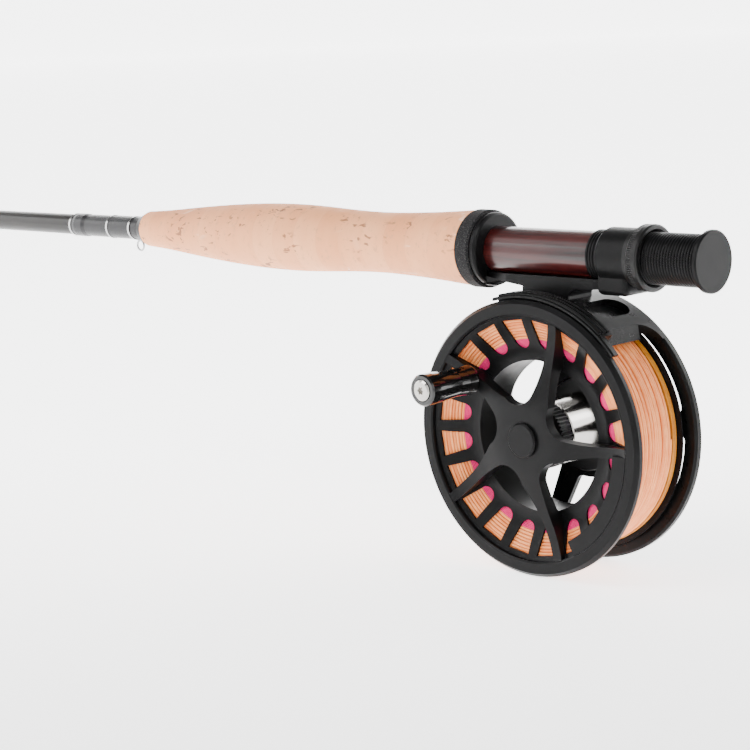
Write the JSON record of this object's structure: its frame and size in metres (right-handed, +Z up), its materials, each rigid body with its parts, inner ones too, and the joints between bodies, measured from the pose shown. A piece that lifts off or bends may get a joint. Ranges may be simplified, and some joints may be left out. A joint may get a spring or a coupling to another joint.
{
  "type": "fly fishing rod and reel",
  "caption": "Assembled multi-piece fly fishing rod with cork grip, screw-locking reel seat and a fly reel that carries wound line.",
  "frame": {"origin": "centre of the butt cap's flat end face, on the rod's own axis", "axes": "+X out of the butt end, so the rod runs along -X to its tip; +Z up, away from the reel, which hangs towards -Z; the reel's axle lies along Y with the handle on the -Y side"},
  "size_m": [2.7401, 0.075, 0.1376],
  "materials": {
    "cork": "fine satin cork with dark pits",
    "composite_cork": "speckled rubberised cork",
    "satin_black": "satin black anodised",
    "seat_insert_red": "clear gloss over deep red grain",
    "arbor_foam": "rigid foam",
    "blank": "gloss lacquered graphite",
    "wrap": "thread under clear gloss",
    "bright_trim": "polished",
    "guide_wire": "hard chrome",
    "guide_ceramic": "polished ceramic",
    "polished_steel": "polished stainless",
    "black_acetal": "moulded acetal",
    "gloss_black": "polished black",
    "drag_fibre": "pressed fibre",
    "backing_braid": "braided polyester",
    "fly_line": "smooth coated line"
  },
  "bodies": {
    "rod_butt": {"butt_blank": "blank", "butt_cap": "satin_black", "threaded_barrel": "satin_black", "seat_arbor": "arbor_foam", "seat_insert": "seat_insert_red", "front_hood": "satin_black", "composite_ring": "composite_cork", "cork_grip": "cork", "winding_check": "satin_black", "butt_wrap": "wrap", "trim_ring_1": "bright_trim", "trim_ring_2": "bright_trim", "trim_ring_3": "bright_trim", "hook_keeper": "bright_trim", "reel_foot": "satin_black", "foot_screw_1": "polished_steel", "foot_screw_2": "polished_steel", "reel_frame": "satin_black", "spindle": "polished_steel", "drag_housing": "polished_steel", "drag_discs": "drag_fibre", "drag_spring": "polished_steel", "pawl_post": "black_acetal"},
    "hood": {"sliding_hood": "satin_black"},
    "nut": {"locking_nut": "satin_black"},
    "lower_mid": {"lower_mid_blank": "blank", "lower_mid_snake_guide_1": "guide_wire", "lower_mid_wraps": "wrap", "stripping_frame_1": "guide_wire", "stripping_frame_2": "guide_wire", "stripping_liner_1": "guide_ceramic", "stripping_liner_2": "guide_ceramic"},
    "upper_mid": {"upper_mid_blank": "blank", "upper_mid_snake_guide_1": "guide_wire", "upper_mid_snake_guide_2": "guide_wire", "upper_mid_snake_guide_3": "guide_wire", "upper_mid_snake_guide_4": "guide_wire", "upper_mid_wraps": "wrap"},
    "tip": {"tip_blank": "blank", "tip_snake_guide_1": "guide_wire", "tip_snake_guide_2": "guide_wire", "tip_snake_guide_3": "guide_wire", "tip_snake_guide_4": "guide_wire", "tip_snake_guide_5": "guide_wire", "tip_wraps": "wrap", "tip_top": "guide_wire"},
    "drive": {"drive_sleeve": "black_acetal"},
    "pawl": {"click_pawl": "black_acetal"},
    "spool": {"spool": "satin_black", "spool_cap": "satin_black", "hub_bearing": "polished_steel", "hub_liner": "black_acetal", "backing": "backing_braid", "fly_line": "fly_line", "handle_post": "polished_steel", "handle_screw": "polished_steel"},
    "handle": {"handle_knob": "gloss_black"},
    "drag_control": {"drag_knob": "gloss_black", "drag_knob_screw": "polished_steel"}
  },
  "joints": [
    {"name": "hood_slide", "type": "slide", "parent": "rod_butt", "child": "hood", "axis": [1, 0, 0], "range_m": [0, 0.01524]},
    {"name": "nut_turn", "type": "hinge", "parent": "hood", "child": "nut", "pos_m": [-0.0292, 0, 0], "axis": [1, 0, 0], "range_deg": [0, 4320]},
    {"name": "lower_ferrule", "type": "slide", "parent": "rod_butt", "child": "lower_mid", "axis": [-1, 0, 0], "range_m": [0, 0.058]},
    {"name": "middle_ferrule", "type": "slide", "parent": "lower_mid", "child": "upper_mid", "axis": [-1, 0, 0], "range_m": [0, 0.058]},
    {"name": "upper_ferrule", "type": "slide", "parent": "upper_mid", "child": "tip", "axis": [-1, 0, 0], "range_m": [0, 0.058]},
    {"name": "spool_spin", "type": "hinge", "parent": "rod_butt", "child": "drive", "pos_m": [-0.0729, 0, -0.0689], "axis": [0, 1, 0], "continuous": true},
    {"name": "spool_release", "type": "slide", "parent": "drive", "child": "spool", "axis": [0, -1, 0], "range_m": [0, 0.045]},
    {"name": "handle_spin", "type": "hinge", "parent": "spool", "child": "handle", "pos_m": [-0.10075, -0.035, -0.04837], "axis": [0, 1, 0], "continuous": true},
    {"name": "drag_turn", "type": "hinge", "parent": "rod_butt", "child": "drag_control", "pos_m": [-0.0729, 0.0226, -0.0689], "axis": [0, 1, 0], "range_deg": [0, 300]},
    {"name": "pawl_rock", "type": "hinge", "parent": "rod_butt", "child": "pawl", "pos_m": [-0.0921, -0.0112, -0.0689], "axis": [0, 1, 0], "range_deg": [-8, 8], "stiffness_Nm_per_rad": 0.002}
  ],
  "couplings": [
    {"joint": "hood_slide", "follows": "nut_turn", "m_per_rad": 0.00020213}
  ]
}
